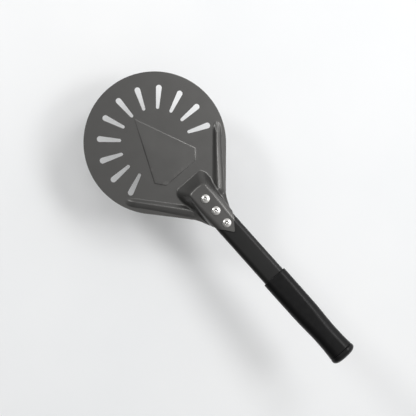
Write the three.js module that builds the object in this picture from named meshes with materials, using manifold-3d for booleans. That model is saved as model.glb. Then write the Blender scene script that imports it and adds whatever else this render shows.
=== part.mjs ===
// Small round turning peel for a pizza oven, in millimetres, +Z up.
// Origin: centre of the round blade, on the raised centre panel's top face, where the pizza sits.
// +X runs from the blade along the handle, +Y is across it. The handle rises away from the blade.
import * as THREE from 'three';
import { ConvexGeometry } from 'three/addons/geometries/ConvexGeometry.js';
import { mergeVertices } from 'three/addons/utils/BufferGeometryUtils.js';
import Module from 'manifold-3d';

const wasm = await Module();
wasm.setup();

// ---- driving dimensions -------------------------------------------------------------------
const BLADE_R = 88.9; // a 7 inch round blade
const SHEET = 1.6; // thickness of the pressed sheet
const GAP = 0.3; // air between two pieces that rest on each other
const RISE = THREE.MathUtils.degToRad(10); // the handle's slope above the blade

const PANEL_RISE = 0.7; // height of the centre panel above the blade's flat
const PANEL_TIP_X = -38.7;
const PANEL_SIDE = new THREE.Vector2(37.4, 33.7); // widest corner
const PANEL_BASE = new THREE.Vector2(49, 24.3); // corner of the straight base

const SLOT_COUNT = 11;
const SLOT_STEP = Math.PI / 8;
const SLOT_IN = 42.5; // radius where a slot starts
const SLOT_OUT = 72.5; // radius where a slot ends
const SLOT_IN_R = 2; // radius of the narrow end
const SLOT_OUT_R = 3.6; // radius of the wide end

const TANGENT = THREE.MathUtils.degToRad(48.5); // where the straight edges leave the circle
const CORNER_X = 106; // where the straight edges meet the neck's flange
const NECK_END_X = 124; // where the flange runs out beside the tube
const NECK_END_HALF = 16.5; // half width of the sheet there
const FLANGE_END_Z = 5.6; // the flange has climbed this high there
const NECK_HALF = 19.2; // half width of the hood's foot at the start of the flange

const RIB_HEIGHT = 3.6;
const RIB_SHRINK = 30; // the hollow under a rib is shorter by its wall over this length
const RIB_WALL = 1.3; // how far the hollow stays inside the rib's foot
// Each rib corner: distance along the straight edge, distance inside it.
const RIB_FOOT = [
  [-26, 12.5], [-15, 16.8], [44, 16.8], [54, 14.5], [64, 7], [54, 3], [20, 4.8], [-15, 6.4],
];
const RIB_CREST = [[-16, 12.4], [-8, 12.8], [46, 11.4], [56, 9.2], [52, 8.2], [20, 10], [-10, 11]];

const TUBE_W = 28.7;
const TUBE_H = 15;
const TUBE_R = 6.4; // corner radius of the flattened tube
const TUBE_WALL = 1.6;
const MOUTH_X = 80; // lower front edge of the tube
const MOUTH_Z = -1.9;
const TUBE_LEN = 203;

const HOOD_FRONT_X = 60.4; // foot of the hood's sloping front
const HOOD_FRONT_HALF = 15; // half length of the foot's straight front
const HOOD_TOP_X = 74.5; // front edge of its flat top
const HOOD_TOP_HALF = 8; // half length of that edge
const HOOD_WIDEST_X = 82; // the foot starts to narrow here
const HOOD_CORNER = [[66, 20.4], [72, 23.2]]; // rounded front corner of the foot: x, half width
const HOOD_WIDEST_HALF = 22.8;
// Shoulder of the hood's top: half width, drop below the plane of the top.
const FRONT_SHOULDER = [[10.6, 0.2], [14, 2.6]];
const MIDDLE_SHOULDER = [[9.8, 0.2], [14.4, 3.2]];
const TOP_CORNER = [76.4, 11.8, 0.3]; // x, half width, drop
// Raked rear end, wrapped round the tube: x, half width, drop.
const REAR_EDGE = [[131.4, 9.4, 0.2], [131, 11.4, 0.8], [128.6, 13.9, 2.4], [126, 15.6, 5.1]];
const WALL_SIDE = 1.2; // the sheet measured across the hood's steep sides, over its thickness
const WALL_TOP = 0.6; // the same at the top's shoulders

const SHOULDER_X = 131; // where the hood lets go of the tube's sides
const TONGUE_ROOT = 5; // the tongue starts this far in front of the shoulders
const TONGUE_ROOT_HALF = 9;
const TONGUE_HALF = 12.4; // half width of the tongue at the shoulders
const TONGUE_TIP_X = 145.4;
const TONGUE_TIP_HALF = 1.6; // the blunted tip
const TONGUE_TIP_LEN = 2;

const RIVET_X = [92.6, 112.1, 131.9];
const RIVET_HEAD_R = 5.75;
const RIVET_HEAD_H = 2.5;
const RIVET_HEAD_RIM = 0.3; // upright edge of the head
const RIVET_LIP_R = 2.3; // recess round the mandrel
const RIVET_BODY_R = 3;
const RIVET_BULGE_R = 4.2;
const RIVET_BULGE_H = 3.2;
const MANDREL_R = 1.5;
const MANDREL_HEAD_R = 2.6;

const PLUG_FLANGE = 2;
const PLUG_DEPTH = 10;

const GRIP_START = 143.4; // along the tube, from its mouth
const CAP_START = 266.2;
const CORE_SPIGOT = 36; // length of the core inside the tube
const CAP_PEG_R = 4;
const CAP_PEG_LEN = 9;
// Grip sections: distance from the grip's front, half width, half height.
const GRIP_SECTIONS = [
  [0, 16.4, 9.6], [30, 16.3, 9.9], [58, 16.1, 10.6], [76, 15.4, 11.1],
  [92, 14.8, 11.2], [105, 14.9, 11.3], [116, 15.5, 11.9], [122.5, 16, 12.4],
];
// The same for the end cap, from the grip's rear.
const CAP_SECTIONS = [
  [0.3, 16, 12.4], [1.2, 16.5, 12.9], [4.6, 16.3, 12.7], [7.4, 13.9, 10.5], [9.2, 8.6, 6.2],
];
const SKIN = 2.8; // soft sleeve over the core
const SCREW_R = 1.7;
const SCREW_HEAD_R = 2.9;
const SCREW_HEAD_H = 1.2;
const SCREW_LEN = 7;
const SCREW_X = 186;

const ARC_STEPS = 10;
const CORNER_STEPS = 6; // on each corner of a tube section
const ROUND_STEPS = 20;
const BELOW = 12; // how far cutting bodies run past what they cut

// ---- helpers ------------------------------------------------------------------------------
function toSolid(geometry) {
  geometry.deleteAttribute('normal');
  geometry.deleteAttribute('uv');
  const merged = mergeVertices(geometry, 1e-4);
  const vertProperties = new Float32Array(merged.attributes.position.array);
  const triVerts = new Uint32Array(merged.index.array);
  return new wasm.Manifold(new wasm.Mesh({ numProp: 3, vertProperties, triVerts }));
}

function toGeometry(solid) {
  const mesh = solid.getMesh();
  const geometry = new THREE.BufferGeometry();
  geometry.setAttribute('position', new THREE.BufferAttribute(new Float32Array(mesh.vertProperties), 3));
  geometry.setIndex(new THREE.BufferAttribute(new Uint32Array(mesh.triVerts), 1));
  return geometry;
}

function hull(points) {
  return toSolid(new ConvexGeometry(points));
}

function unite(solids) {
  return solids.reduce((all, solid) => all.add(solid));
}

// A flat shape, lifted to z and given a thickness along +Z.
function slab(shape, z, thickness) {
  const options = { depth: thickness, bevelEnabled: false, curveSegments: ARC_STEPS };
  return toSolid(new THREE.ExtrudeGeometry(shape, options).translate(0, 0, z));
}

// A section in the YZ plane, extruded along +X from x.
function bar(shape, x, length) {
  const options = { depth: length, bevelEnabled: false, curveSegments: CORNER_STEPS };
  const geometry = new THREE.ExtrudeGeometry(shape, options).rotateX(Math.PI / 2).rotateZ(Math.PI / 2);
  return toSolid(geometry.translate(x, 0, 0));
}

// A turned body about +Z: the profile is a list of [radius, height].
function turned(profile) {
  const points = profile.map(([r, z]) => new THREE.Vector2(r, z));
  return toSolid(new THREE.LatheGeometry(points, ROUND_STEPS).rotateX(Math.PI / 2));
}

function placed(solid, x, y, z) {
  return toSolid(toGeometry(solid).translate(x, y, z));
}

// A rectangle with round corners, centred across and standing on zero. `grow` offsets it outwards.
function roundRect(width, height, radius, grow = 0) {
  const w = width / 2 + grow;
  const low = -grow;
  const high = height + grow;
  const r = radius + grow;
  const shape = new THREE.Shape();
  shape.moveTo(-w + r, low);
  shape.lineTo(w - r, low);
  shape.absarc(w - r, low + r, r, -Math.PI / 2, 0);
  shape.lineTo(w, high - r);
  shape.absarc(w - r, high - r, r, 0, Math.PI / 2);
  shape.lineTo(-w + r, high);
  shape.absarc(-w + r, high - r, r, Math.PI / 2, Math.PI);
  shape.lineTo(-w, low + r);
  shape.absarc(-w + r, low + r, r, Math.PI, 1.5 * Math.PI);
  return shape;
}

// From the handle's own frame (origin at the tube's lower front edge) to the blade's frame.
function inBladeFrame(solid) {
  const matrix = new THREE.Matrix4().makeRotationY(-RISE).setPosition(MOUTH_X, 0, MOUTH_Z);
  return toSolid(toGeometry(solid).applyMatrix4(matrix));
}

// Height of a plane parallel to the tube's top and `above` it, over the point x.
function topPlane(x, above) {
  return MOUTH_Z + (x - MOUTH_X) * Math.tan(RISE) + (TUBE_H + above) / Math.cos(RISE);
}

// Distance along the tube, on its top, of a point given by the blade's x.
function alongHandle(x) {
  return (x - MOUTH_X) / Math.cos(RISE) + TUBE_H * Math.tan(RISE);
}

function mirrored(points) {
  return points.flatMap(([x, y, z]) => [new THREE.Vector3(x, y, z), new THREE.Vector3(x, -y, z)]);
}

function node(name, geometry, finish) {
  const [color, roughness, metalness] = finish;
  const mesh = new THREE.Mesh(geometry, new THREE.MeshStandardMaterial({ color, roughness, metalness }));
  mesh.name = name;
  return mesh;
}

const ANODISED = [0x5c5b59, 0.5, 0.7];
const DARK_ANODISED = [0x30302e, 0.45, 0.6];
const STAINLESS = [0xc9c6c0, 0.2, 1];
const BLACK_NYLON = [0x1c1c1c, 0.6, 0];
const SOFT_BLACK = [0x222222, 0.75, 0];
const ZINC = [0xa9abad, 0.4, 1];

// ---- blade --------------------------------------------------------------------------------
const FLAT_Z = -PANEL_RISE; // top of the blade's flat
const UNDER_Z = FLAT_Z - SHEET; // underside

// Point beside the straight edge: t along it towards the neck, inside its line by `inset`.
function besideEdge(t, inset) {
  const c = Math.cos(TANGENT);
  const s = Math.sin(TANGENT);
  return new THREE.Vector2((BLADE_R - inset) * c + t * s, (BLADE_R - inset) * s - t * c);
}

function bladeOutline() {
  const corner = besideEdge((CORNER_X - BLADE_R * Math.cos(TANGENT)) / Math.sin(TANGENT), 0);
  const shape = new THREE.Shape();
  shape.moveTo(corner.x, -corner.y);
  shape.lineTo(corner.x, corner.y);
  const arc = new THREE.EllipseCurve(0, 0, BLADE_R, BLADE_R, TANGENT, 2 * Math.PI - TANGENT);
  arc.getPoints(8 * ARC_STEPS).forEach((p) => shape.lineTo(p.x, p.y));
  for (let i = 0; i < SLOT_COUNT; i += 1) {
    shape.holes.push(slotOutline(Math.PI + (i - (SLOT_COUNT - 1) / 2) * SLOT_STEP));
  }
  return shape;
}

// A teardrop along the radius at `angle`: two round ends joined by their common tangents.
function slotOutline(angle) {
  const inner = SLOT_IN + SLOT_IN_R;
  const outer = SLOT_OUT - SLOT_OUT_R;
  const flare = Math.acos((SLOT_OUT_R - SLOT_IN_R) / (outer - inner));
  const turn = Math.PI - flare;
  const path = new THREE.Path();
  const place = (radius) => [radius * Math.cos(angle), radius * Math.sin(angle)];
  path.absarc(...place(outer), SLOT_OUT_R, angle - turn, angle + turn);
  path.absarc(...place(inner), SLOT_IN_R, angle + turn, angle + 2 * Math.PI - turn);
  return path;
}

function panelOutline(inset) {
  const shape = new THREE.Shape();
  shape.moveTo(PANEL_TIP_X + 2 * inset, 0);
  shape.lineTo(PANEL_SIDE.x - inset / 2, -PANEL_SIDE.y + inset);
  shape.lineTo(PANEL_BASE.x - inset, -PANEL_BASE.y + inset / 2);
  shape.lineTo(PANEL_BASE.x - inset, PANEL_BASE.y - inset / 2);
  shape.lineTo(PANEL_SIDE.x - inset / 2, PANEL_SIDE.y - inset);
  return shape;
}

// One rib: a ridge beside a straight edge. `shrink` and `drop` give the hollow below it.
function rib(side, shrink, drop) {
  const ring = (corners, z) => {
    const middle = corners.reduce((sum, [, inset]) => sum + inset, 0) / corners.length;
    return corners.map(([t, inset]) => {
      const towards = Math.max(-shrink, Math.min(shrink, middle - inset));
      const p = besideEdge(t * (1 - shrink / RIB_SHRINK), inset + towards);
      return new THREE.Vector3(p.x, side * p.y, z);
    });
  };
  const foot = ring(RIB_FOOT, drop > 0 ? UNDER_Z - BELOW : FLAT_Z - SHEET / 2);
  const base = ring(RIB_FOOT, FLAT_Z - drop);
  return hull([...foot, ...base, ...ring(RIB_CREST, FLAT_Z + RIB_HEIGHT - drop)]);
}

// The hood pressed up over the tube's end, in three convex stretches. With `wall` it is the
// space inside, open below.
function hood(wall) {
  const side = wall * WALL_SIDE;
  const floor = wall > 0 ? UNDER_Z - BELOW : UNDER_Z;
  const top = (x, y, drop) => [x, y - wall * WALL_TOP, topPlane(x, GAP + SHEET - wall) - drop];
  const shoulder = (x, profile) => profile.map(([y, drop]) => top(x, y, drop));
  const foot = (x, y) => [[x, y - side, FLAT_Z], [x, y - side, floor]];
  const rearFoot = [
    [NECK_END_X, NECK_END_HALF - side, FLANGE_END_Z],
    [NECK_END_X, NECK_END_HALF - side, wall > 0 ? floor : FLANGE_END_Z - SHEET],
  ];
  const neckX = CORNER_X - 2;
  const front = [
    ...foot(HOOD_FRONT_X + side, HOOD_FRONT_HALF),
    ...HOOD_CORNER.flatMap(([x, y]) => foot(x, y)),
    ...foot(HOOD_WIDEST_X, HOOD_WIDEST_HALF),
    top(HOOD_TOP_X + wall, HOOD_TOP_HALF, 0),
    top(...TOP_CORNER),
    ...shoulder(HOOD_WIDEST_X, FRONT_SHOULDER),
  ];
  const middle = [
    ...foot(HOOD_WIDEST_X, HOOD_WIDEST_HALF), ...foot(neckX, NECK_HALF),
    ...shoulder(HOOD_WIDEST_X, FRONT_SHOULDER), ...shoulder(neckX, MIDDLE_SHOULDER),
  ];
  const rear = [
    ...foot(neckX, NECK_HALF), ...rearFoot,
    ...shoulder(neckX, MIDDLE_SHOULDER), ...REAR_EDGE.map((corner) => top(...corner)),
  ];
  return unite([front, middle, rear].map((points) => hull(mirrored(points))));
}

// The tapering flange beside the neck: it climbs with the tube and runs out at its side.
function neckFlange(side) {
  const corner = besideEdge((CORNER_X - BLADE_R * Math.cos(TANGENT)) / Math.sin(TANGENT), 0);
  const tubeSide = TUBE_W / 2 + GAP;
  const plan = [
    [corner.x - 1, tubeSide + SHEET, FLAT_Z], [corner.x - 1, corner.y + 0.7, FLAT_Z],
    [corner.x, corner.y, FLAT_Z],
    [NECK_END_X, NECK_END_HALF, FLANGE_END_Z], [NECK_END_X, tubeSide, FLANGE_END_Z],
  ];
  return hull(plan.flatMap(([x, y, z]) => [
    new THREE.Vector3(x, side * y, z), new THREE.Vector3(x, side * y, z - SHEET),
  ]));
}

// The flat tongue on top of the tube, behind the shoulders.
function tongue() {
  const plan = [
    [SHOULDER_X - TONGUE_ROOT, TONGUE_ROOT_HALF], [SHOULDER_X, TONGUE_HALF],
    [TONGUE_TIP_X - TONGUE_TIP_LEN, TONGUE_TIP_HALF], [TONGUE_TIP_X, 0],
  ];
  const points = plan.flatMap(([x, y]) => [
    [x, y, topPlane(x, GAP + SHEET)], [x, y, topPlane(x, GAP)],
  ]);
  return hull(mirrored(points));
}

function tubeChannel() {
  const start = -PLUG_FLANGE - 3 * GAP;
  return inBladeFrame(bar(roundRect(TUBE_W, TUBE_H, TUBE_R, GAP), start, TUBE_LEN));
}

// Everything below the tube inside the neck, so that the hood stays an open channel.
function channelMouth() {
  const w = TUBE_W / 2 + GAP;
  const shape = new THREE.Shape();
  shape.moveTo(-w, TUBE_R);
  shape.lineTo(-w, -2 * BELOW);
  shape.lineTo(w, -2 * BELOW);
  shape.lineTo(w, TUBE_R);
  return inBladeFrame(bar(shape, -PLUG_FLANGE - 3 * GAP, TUBE_LEN));
}

function rivetHole(x) {
  const radius = RIVET_BODY_R + GAP;
  const hole = turned([[0, -BELOW], [radius, -BELOW], [radius, BELOW], [0, BELOW]]);
  return placed(hole, alongHandle(x), 0, TUBE_H);
}

function makeBlade() {
  let solid = slab(bladeOutline(), UNDER_Z, SHEET);
  solid = solid.add(slab(panelOutline(0), UNDER_Z, SHEET + PANEL_RISE));
  const ridges = [1, -1].flatMap((side) => [rib(side, 0, 0), neckFlange(side)]);
  solid = unite([solid, hood(0), ...ridges]);
  const hollows = [1, -1].map((side) => rib(side, RIB_WALL, SHEET));
  solid = solid.subtract(unite([hood(SHEET), ...hollows]));
  solid = solid.subtract(slab(panelOutline(1), UNDER_Z - BELOW, BELOW + PANEL_RISE));
  solid = solid.add(tongue());
  solid = solid.subtract(tubeChannel()).subtract(channelMouth());
  RIVET_X.forEach((x) => {
    solid = solid.subtract(inBladeFrame(rivetHole(x)));
  });
  return node('blade', toGeometry(solid), ANODISED);
}

// ---- handle tube and what is fixed in it (handle frame) -------------------------------------
function screwHole() {
  const radius = SCREW_R + GAP;
  const hole = turned([[0, -BELOW], [radius, -BELOW], [radius, BELOW / 2], [0, BELOW / 2]]);
  return placed(hole, SCREW_X, 0, 0);
}

function makeTube() {
  const outer = bar(roundRect(TUBE_W, TUBE_H, TUBE_R), 0, TUBE_LEN);
  const inner = bar(roundRect(TUBE_W, TUBE_H, TUBE_R, -TUBE_WALL), -1, TUBE_LEN + 2);
  let solid = outer.subtract(inner).subtract(screwHole());
  RIVET_X.forEach((x) => {
    solid = solid.subtract(rivetHoleInTopWall(x));
  });
  return node('handle_tube', toGeometry(solid), DARK_ANODISED);
}

function rivetHoleInTopWall(x) {
  const radius = RIVET_BODY_R + GAP;
  const hole = turned([[0, -TUBE_H / 2], [radius, -TUBE_H / 2], [radius, BELOW], [0, BELOW]]);
  return placed(hole, alongHandle(x), 0, TUBE_H);
}

function makeFrontPlug() {
  const flange = bar(roundRect(TUBE_W, TUBE_H, TUBE_R, -GAP), -PLUG_FLANGE - GAP, PLUG_FLANGE);
  const body = bar(roundRect(TUBE_W, TUBE_H, TUBE_R, -TUBE_WALL - GAP), -PLUG_FLANGE / 2, PLUG_DEPTH);
  const pocket = bar(roundRect(TUBE_W, TUBE_H, TUBE_R, -TUBE_WALL - GAP - 1.8), 0, PLUG_DEPTH);
  return node('tube_front_plug', toGeometry(flange.add(body).subtract(pocket)), BLACK_NYLON);
}

// ---- blind rivets (handle frame) ------------------------------------------------------------
const RIVET_SEAT = TUBE_H + GAP + SHEET + GAP; // underside of the dome heads
const RIVET_BLIND = TUBE_H - TUBE_WALL - GAP; // top of the bulge inside the tube

function makeRivetBody(index) {
  const bore = MANDREL_R + GAP;
  const low = RIVET_BLIND - RIVET_BULGE_H;
  const soft = 0.8; // chamfer round the bulge
  const profile = [
    [bore, low], [RIVET_BULGE_R - soft, low], [RIVET_BULGE_R, low + soft],
    [RIVET_BULGE_R, RIVET_BLIND - soft], [RIVET_BULGE_R - soft, RIVET_BLIND],
    [RIVET_BODY_R, RIVET_BLIND], [RIVET_BODY_R, RIVET_SEAT], [RIVET_HEAD_R, RIVET_SEAT],
  ];
  const domeSteps = 6;
  const domeHeight = RIVET_HEAD_H - RIVET_HEAD_RIM;
  for (let i = 0; i <= domeSteps; i += 1) {
    const turn = (i / domeSteps) * Math.acos(RIVET_LIP_R / RIVET_HEAD_R);
    const height = RIVET_SEAT + RIVET_HEAD_RIM + domeHeight * Math.sin(turn);
    profile.push([RIVET_HEAD_R * Math.cos(turn), height]);
  }
  profile.push([bore, RIVET_SEAT + 2 * GAP], [bore, low]);
  const body = placed(turned(profile), alongHandle(RIVET_X[index]), 0, 0);
  return node(`rivet_body_${index + 1}`, toGeometry(body), STAINLESS);
}

function makeMandrel(index) {
  const low = RIVET_BLIND - RIVET_BULGE_H - GAP;
  const end = RIVET_SEAT + RIVET_HEAD_H - 0.7; // the snapped end lies inside the recess
  const soft = 0.5;
  const profile = [
    [0, low - 2.2], [MANDREL_HEAD_R - soft, low - 2], [MANDREL_HEAD_R, low - 1.1],
    [MANDREL_HEAD_R, low], [MANDREL_R, low], [MANDREL_R, end - soft], [MANDREL_R - soft, end], [0, end],
  ];
  const pin = placed(turned(profile), alongHandle(RIVET_X[index]), 0, 0);
  return node(`rivet_mandrel_${index + 1}`, toGeometry(pin), STAINLESS);
}

// ---- grip (handle frame) --------------------------------------------------------------------
// A rounded section of the grip in the plane x, with its middle at the tube's half height.
function gripRing(x, halfWidth, halfHeight) {
  const count = 28;
  const squareness = 0.62; // 1 would be an ellipse, 0 a rectangle
  return Array.from({ length: count }, (_, i) => {
    const turn = (i / count) * 2 * Math.PI;
    const c = Math.cos(turn);
    const s = Math.sin(turn);
    const y = halfWidth * Math.sign(c) * Math.abs(c) ** squareness;
    const z = halfHeight * Math.sign(s) * Math.abs(s) ** squareness;
    return new THREE.Vector3(x, y, TUBE_H / 2 + z);
  });
}

function loft(rings) {
  return unite(rings.slice(1).map((ring, i) => hull([...rings[i], ...ring])));
}

function gripBody(inset, start, end) {
  const at = (distance) => {
    const next = Math.max(1, GRIP_SECTIONS.findIndex(([x]) => x >= distance - 1e-6));
    const [a, b] = [GRIP_SECTIONS[next - 1], GRIP_SECTIONS[next]];
    const mix = (distance - a[0]) / (b[0] - a[0]);
    return [1, 2].map((k) => THREE.MathUtils.lerp(a[k], b[k], mix) - inset);
  };
  const inner = GRIP_SECTIONS.map(([x]) => x).filter((x) => x > start && x < end);
  return loft([start, ...inner, end].map((x) => gripRing(GRIP_START + x, ...at(x))));
}

const GRIP_LEN = GRIP_SECTIONS[GRIP_SECTIONS.length - 1][0];
const CORE_START = TUBE_LEN + GAP - GRIP_START;

function capPegHole() {
  const radius = CAP_PEG_R + GAP;
  const circle = new THREE.Shape().absarc(0, TUBE_H / 2, radius, 0, 2 * Math.PI);
  return bar(circle, CAP_START - CAP_PEG_LEN - GAP, 2 * CAP_PEG_LEN);
}

function makeCore() {
  const body = gripBody(SKIN, CORE_START, GRIP_LEN);
  const spigotStart = TUBE_LEN - CORE_SPIGOT;
  const spigot = bar(roundRect(TUBE_W, TUBE_H, TUBE_R, -TUBE_WALL - GAP), spigotStart, CORE_SPIGOT + 2);
  const solid = body.add(spigot).subtract(capPegHole()).subtract(screwHole());
  return node('grip_core', toGeometry(solid), BLACK_NYLON);
}

function makeSleeve() {
  const start = GRIP_START - 1;
  const tubeSpace = bar(roundRect(TUBE_W, TUBE_H, TUBE_R, GAP), start, TUBE_LEN + GAP - start);
  const coreSpace = gripBody(SKIN - GAP, CORE_START - GAP, GRIP_LEN);
  const low = -SCREW_HEAD_H - 2 * GAP;
  const radius = SCREW_HEAD_R + GAP;
  const screwSpace = placed(turned([[0, low], [radius, low], [radius, 1], [0, 1]]), SCREW_X, 0, 0);
  const solid = gripBody(0, 0, GRIP_LEN).subtract(tubeSpace).subtract(coreSpace).subtract(screwSpace);
  return node('grip_sleeve', toGeometry(solid), SOFT_BLACK);
}

function makeCoreScrew() {
  const low = -SCREW_HEAD_H - GAP;
  const profile = [
    [0, low], [SCREW_HEAD_R - 0.5, low], [SCREW_HEAD_R, low + SCREW_HEAD_H / 2],
    [SCREW_HEAD_R, -GAP], [SCREW_R, -GAP], [SCREW_R, SCREW_LEN - 3], [0, SCREW_LEN - 2],
  ];
  return node('grip_core_screw', toGeometry(placed(turned(profile), SCREW_X, 0, 0)), ZINC);
}

function makeEndCap() {
  const rings = CAP_SECTIONS.map(([x, w, h]) => gripRing(GRIP_START + GRIP_LEN + x, w, h));
  const peg = new THREE.Shape().absarc(0, TUBE_H / 2, CAP_PEG_R, 0, 2 * Math.PI);
  const solid = loft(rings).add(bar(peg, CAP_START - CAP_PEG_LEN, CAP_PEG_LEN + 2));
  return node('end_cap', toGeometry(solid), BLACK_NYLON);
}

// ---- assembly -----------------------------------------------------------------------------
const handle = new THREE.Group();
handle.position.set(MOUTH_X, 0, MOUTH_Z);
handle.rotation.y = -RISE;
handle.add(makeTube(), makeFrontPlug(), makeCore(), makeCoreScrew(), makeSleeve(), makeEndCap());
RIVET_X.forEach((_, index) => handle.add(makeRivetBody(index), makeMandrel(index)));

const peel = new THREE.Group();
peel.add(makeBlade(), handle);

export default peel;
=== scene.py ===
"""A small round turning peel for a pizza oven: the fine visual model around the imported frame.

Lengths in this file are millimetres until a mesh is made, and MM turns them into metres.
+X runs from the blade along the handle, +Y across it, +Z out of the face that carries the pizza.
"""
import math

import bmesh
import bpy
import numpy as np
from mathutils import Matrix, Vector, geometry, kdtree


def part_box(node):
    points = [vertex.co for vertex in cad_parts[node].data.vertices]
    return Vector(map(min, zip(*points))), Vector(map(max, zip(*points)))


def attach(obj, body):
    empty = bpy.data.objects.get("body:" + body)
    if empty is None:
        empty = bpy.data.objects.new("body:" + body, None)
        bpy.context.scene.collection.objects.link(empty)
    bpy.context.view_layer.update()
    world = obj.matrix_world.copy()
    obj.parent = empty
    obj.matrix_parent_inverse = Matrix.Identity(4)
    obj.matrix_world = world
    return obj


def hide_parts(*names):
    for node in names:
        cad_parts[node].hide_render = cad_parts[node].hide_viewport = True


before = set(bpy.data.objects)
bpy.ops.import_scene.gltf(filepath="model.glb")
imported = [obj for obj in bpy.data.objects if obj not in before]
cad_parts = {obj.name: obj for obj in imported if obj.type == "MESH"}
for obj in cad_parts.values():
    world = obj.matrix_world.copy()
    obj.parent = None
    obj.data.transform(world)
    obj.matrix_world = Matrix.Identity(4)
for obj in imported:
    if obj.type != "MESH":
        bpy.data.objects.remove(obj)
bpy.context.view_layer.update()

MM = 0.001


# ---- dimensions, from the frame where it has them ------------------------------------------
def box_mm(node):
    low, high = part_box(node)
    return low / MM, high / MM


blade_low, _ = box_mm("blade")
tube_low, tube_high = box_mm("handle_tube")

BLADE_R = -blade_low.x
SHEET = 1.6
EDGE_ROUND = 0.3  # radius on the sheet's cut edges
PANEL_RISE = 0.7
FLAT_Z = -PANEL_RISE  # the plate's top face beside the panel
RISE = math.radians(10)  # the handle's slope above the blade
MOUTH = Vector((80.0, 0.0, -1.9))  # lower front edge of the tube
TUBE_W = tube_high.y - tube_low.y
TUBE_LENGTH, TUBE_H, TUBE_R, TUBE_WALL = 203.0, 15.0, 6.4, 1.6
SEAT = 0.3  # air between touching pieces

SLOT_COUNT, SLOT_STEP = 11, math.pi / 8
SLOT_IN, SLOT_OUT, SLOT_IN_R, SLOT_OUT_R = 42.5, 72.5, 2.0, 3.6

TANGENT = math.radians(48.5)  # where the straight edges leave the round
EDGE_LENGTH = 60.3  # of each straight edge
NECK_LEAD = 4.2  # how far the neck's curve still follows the straight edge
FLANGE_END_X = 121.0
FLANGE_BLUNT = 0.8, 0.25  # the flange's end is blunt by this much along and across
BEND_X, BEND_SLOPE, BEND_SOFT = 105.0, 0.33, 5.0  # where and how the plate turns up to the neck

PANEL = [(-38.7, 0), (37.4, -33.7), (49, -24.3), (49, 24.3), (37.4, 33.7)]
PANEL_STEP = 0.75  # width of the pressed step round the panel
PANEL_DIP = 28  # width of the dip beside the low part of the step
LOW_STEP, LOWEST_STEP = 0.45, 0.25  # height of that low part, as shares of the panel's rise
LOWEST_AT = 0.55  # where along the long side the step gets lowest, as a share of that side
SHORT_SIDE, LONG_SIDE = 3, 4  # the panel's sides with the low step

RIB_HEIGHT = 3.6
RIB_START, RIB_END = -28.5, 66.0  # along the straight edge, from where it leaves the round
RIB_LEAD_IN, RIB_RUN_OUT = 15, 10  # lengths over which the rib rises and dies out
RIB_KNOTS = [RIB_START, -22, -14, 0, 10, 20, 30, 40, 50, 58, RIB_END]
RIB_LINES = {  # insets of the rib's outer foot, outer shoulder, crest and inner foot at the knots
    "foot": [9.5, 6.8, 6.0, 5.8, 5.3, 4.8, 4.1, 3.4, 2.8, 2.5, 3.4],
    "shoulder": [11.3, 9.3, 9.2, 9.0, 8.5, 7.9, 7.4, 6.8, 6.2, 5.9, 5.5],
    "crest": [12.5, 12.8, 12.4, 12.3, 12.1, 11.7, 11.4, 11.1, 10.7, 9.6, 7.2],
    "inner": [14.5, 17.0, 17.5, 17.4, 17.4, 17.4, 17.4, 17.3, 16.8, 14.6, 10.0],
}
SHOULDER_SHARE, FOOT_SHARE = 0.72, 0.03  # heights of shoulder and outer foot, as shares of the crest's
FLANK_START, FLANK_END = 1.6, 0.4  # slopes of the outer flank at its foot and at its shoulder

HOOD_FRONT, HOOD_TOP_FRONT = 60.4, 77.2
FOOT_CORNER_X, TOP_CORNER_X = 71.5, 80.6
FOOT_FLAT, TOP_FLAT = 15.5, 6.0  # half lengths of the straight front edges
FOOT_REAR_X, TOP_REAR_X = 123.3, 135.8
FRONT_TOP_R = 4.6  # radius between the hood's flat top and its front wall
FOOT_R, REAR_FOOT_R = 3.2, 0.1  # radius at the walls' foot, which tightens to the rear
FOOT_R_FROM, FOOT_R_OVER = 100, 20  # where it starts to tighten, and over what length
SIDE_BLEND = 14  # length behind the front corner over which the front wall turns into the side wall
STEEPEST = math.radians(89)  # slope of the steepest wall
# the rear edge of the side wall: share of the way down from the top, share of the way from foot x to top x
RAKE = [0, 0.205, 0.40, 0.63, 1], [1, 0.656, 0.24, 0.072, 0]
TONGUE_TIP_X, TONGUE_TIP_R = 145.4, 1.6
CROWN_EDGE = 0.7  # width of the strip kept level round the hood's flat top

# ---- mesh density --------------------------------------------------------------------------
SIDE_STEPS, REAR_STEPS, CORNER_STEPS, FRONT_STEPS = 36, 8, 14, 8  # round the hood
TOP_ARC, SLOPE_STEPS, FOOT_ARC = 12, 7, 10  # down its walls
WIDE_ARC, NARROW_ARC, SLOT_SIDE = 22, 12, 12  # round a slot
NOSE_ARC, TONGUE_SIDE = 9, 8  # round the tongue
STRAIGHT_STEPS, NECK_STEPS, DISC_STEPS = 40, 16, 130  # round the blade
EDGE_ROWS = 0.6, 1.4  # rows beside the cut edges
PANEL_ROWS = -0.75, -0.45, -0.3, -0.15, 0, 0.15, 0.3, 0.45, 0.75  # rows across the panel's step
PANEL_SPACING, RIB_SPACING, BEND_SPACING = 1.3, 1.1, (1.5, 1.2)
RIB_ROWS = 7, 6, 10, 3  # rows up the flank, over the crest, down the inner side and past its foot
RIB_OUTER_ROWS = 1.7, 0.45  # rows outside the outer foot
RIB_PAST = 0.9  # width of the rows past the inner foot
BEND_BEFORE, BEND_IN, BEND_OUT = 16, 16, 30  # the close grid over the bend: before it, and across
GRID, GRID_ROW, GRID_CLEAR = 3.4, 0.866, 0.55  # the wide grid: step, then row pitch and clearance in steps
GRID_X, GRID_Y = (-90, 125), (-90, 90)
TUBE_STEPS, LIP_ARC, SLEEVE_STEPS, CAP_STEPS, SECTION_ARC = 30, 5, 60, 34, 16  # along and round the handle
BULGE_ARC, DOME_ARC, RIM_ARC, HEAD_TURN, STEM_TURN = 9, 18, 5, 48, 32  # along and round the rivets
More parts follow.
